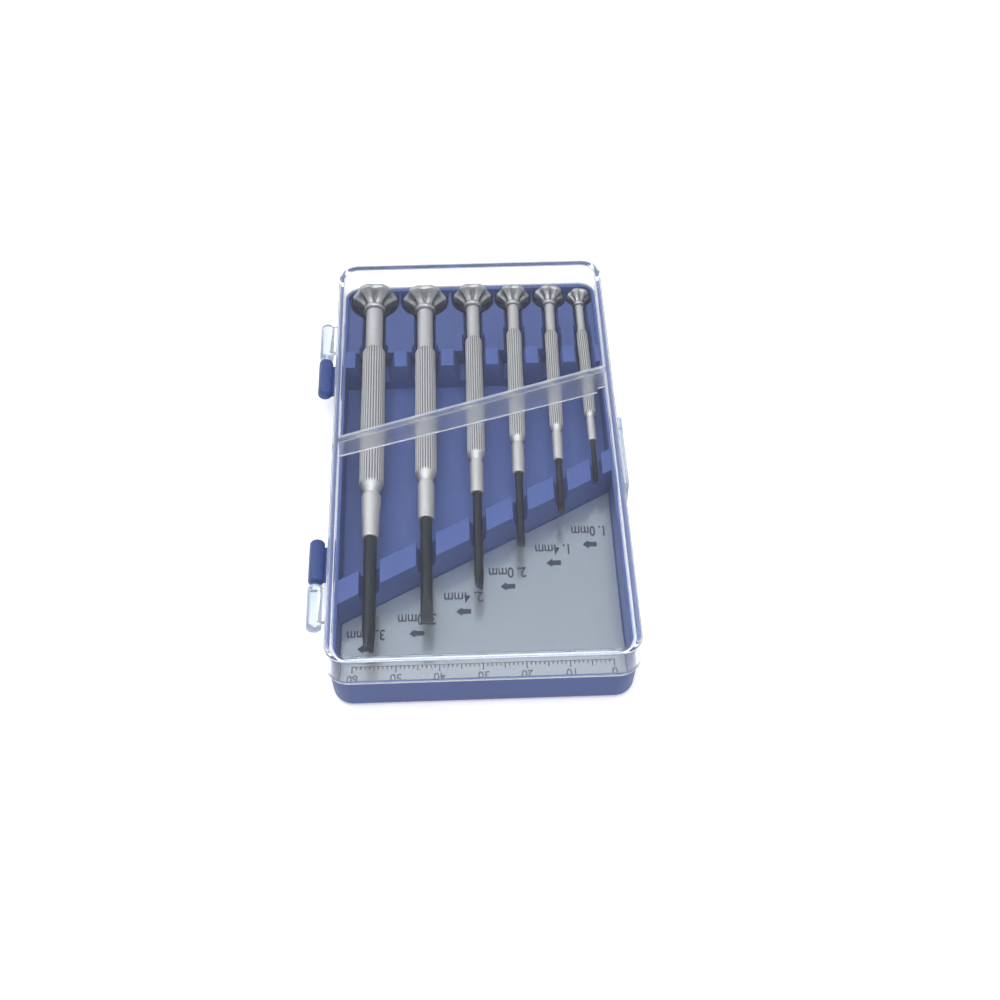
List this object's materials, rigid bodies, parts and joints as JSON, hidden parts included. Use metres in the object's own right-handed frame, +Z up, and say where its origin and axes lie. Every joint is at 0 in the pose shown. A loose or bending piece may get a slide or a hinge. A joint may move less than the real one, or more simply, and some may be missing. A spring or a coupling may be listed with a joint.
{
  "type": "watchmaker screwdriver set",
  "caption": "Graded watchmaker's screwdrivers with swivel heads and fluted grips, cradled in a hinged tray under a clear lid, with a size card.",
  "frame": {"origin": "middle of the tray's flat underside", "axes": "+X across the case, away from the hinge; +Y along the screwdrivers, towards their swivel heads; +Z up out of the tray"},
  "size_m": [0.0769, 0.128, 0.0195],
  "materials": {
    "blue_plastic": "satin moulded blue plastic",
    "clear_plastic": "clear moulded plastic with a faint cool tint",
    "printed_card": "silver-grey printed card",
    "nickel_plate": "nickel-plated turned brass, fluted grip",
    "nickel_head": "nickel-plated brass",
    "steel_pin": "bright steel",
    "black_oxide_steel": "black oxide on hardened steel"
  },
  "bodies": {
    "case": {"tray": "blue_plastic", "size_card": "printed_card"},
    "lid": {"lid": "clear_plastic"},
    "driver_3_8mm": {"handle_3_8mm": "nickel_plate", "blade_3_8mm": "black_oxide_steel", "swivel_pin_3_8mm": "steel_pin"},
    "driver_3_0mm": {"handle_3_0mm": "nickel_plate", "blade_3_0mm": "black_oxide_steel", "swivel_pin_3_0mm": "steel_pin"},
    "driver_2_4mm": {"handle_2_4mm": "nickel_plate", "blade_2_4mm": "black_oxide_steel", "swivel_pin_2_4mm": "steel_pin"},
    "driver_2_0mm": {"handle_2_0mm": "nickel_plate", "blade_2_0mm": "black_oxide_steel", "swivel_pin_2_0mm": "steel_pin"},
    "driver_1_4mm": {"handle_1_4mm": "nickel_plate", "blade_1_4mm": "black_oxide_steel", "swivel_pin_1_4mm": "steel_pin"},
    "driver_1_0mm": {"handle_1_0mm": "nickel_plate", "blade_1_0mm": "black_oxide_steel", "swivel_pin_1_0mm": "steel_pin"},
    "head_3_8mm": {"swivel_head_3_8mm": "nickel_head"},
    "head_3_0mm": {"swivel_head_3_0mm": "nickel_head"},
    "head_2_4mm": {"swivel_head_2_4mm": "nickel_head"},
    "head_2_0mm": {"swivel_head_2_0mm": "nickel_head"},
    "head_1_4mm": {"swivel_head_1_4mm": "nickel_head"},
    "head_1_0mm": {"swivel_head_1_0mm": "nickel_head"}
  },
  "joints": [
    {"name": "lid_hinge", "type": "hinge", "parent": "case", "child": "lid", "pos_m": [-0.0383, 0, 0.0105], "axis": [0, -1, 0], "range_deg": [0, 180]},
    {"name": "driver_turn_3_8mm", "type": "hinge", "parent": "case", "child": "driver_3_8mm", "pos_m": [-0.02597, 0, 0.00881], "axis": [-0.0022, 1, 0], "continuous": true},
    {"name": "driver_turn_3_0mm", "type": "hinge", "parent": "case", "child": "driver_3_0mm", "pos_m": [-0.01254, 0, 0.00868], "axis": [0.0023, 1, 0], "continuous": true},
    {"name": "driver_turn_2_4mm", "type": "hinge", "parent": "case", "child": "driver_2_4mm", "pos_m": [0.00001, 0, 0.00867], "axis": [0.0096, 1, 0], "continuous": true},
    {"name": "driver_turn_2_0mm", "type": "hinge", "parent": "case", "child": "driver_2_0mm", "pos_m": [0.01043, 0, 0.00851], "axis": [0.019, 0.9998, 0], "continuous": true},
    {"name": "driver_turn_1_4mm", "type": "hinge", "parent": "case", "child": "driver_1_4mm", "pos_m": [0.02047, 0, 0.00846], "axis": [0.0169, 0.9999, 0], "continuous": true},
    {"name": "driver_turn_1_0mm", "type": "hinge", "parent": "case", "child": "driver_1_0mm", "pos_m": [0.02951, 0, 0.0084], "axis": [0.0022, 1, 0], "continuous": true},
    {"name": "head_swivel_3_8mm", "type": "hinge", "parent": "driver_3_8mm", "child": "head_3_8mm", "pos_m": [-0.02597, 0, 0.00881], "axis": [-0.0022, 1, 0], "continuous": true},
    {"name": "head_swivel_3_0mm", "type": "hinge", "parent": "driver_3_0mm", "child": "head_3_0mm", "pos_m": [-0.01254, 0, 0.00868], "axis": [0.0023, 1, 0], "continuous": true},
    {"name": "head_swivel_2_4mm", "type": "hinge", "parent": "driver_2_4mm", "child": "head_2_4mm", "pos_m": [0.00001, 0, 0.00867], "axis": [0.0096, 1, 0], "continuous": true},
    {"name": "head_swivel_2_0mm", "type": "hinge", "parent": "driver_2_0mm", "child": "head_2_0mm", "pos_m": [0.01043, 0, 0.00851], "axis": [0.019, 0.9998, 0], "continuous": true},
    {"name": "head_swivel_1_4mm", "type": "hinge", "parent": "driver_1_4mm", "child": "head_1_4mm", "pos_m": [0.02047, 0, 0.00846], "axis": [0.0169, 0.9999, 0], "continuous": true},
    {"name": "head_swivel_1_0mm", "type": "hinge", "parent": "driver_1_0mm", "child": "head_1_0mm", "pos_m": [0.02951, 0, 0.0084], "axis": [0.0022, 1, 0], "continuous": true}
  ]
}
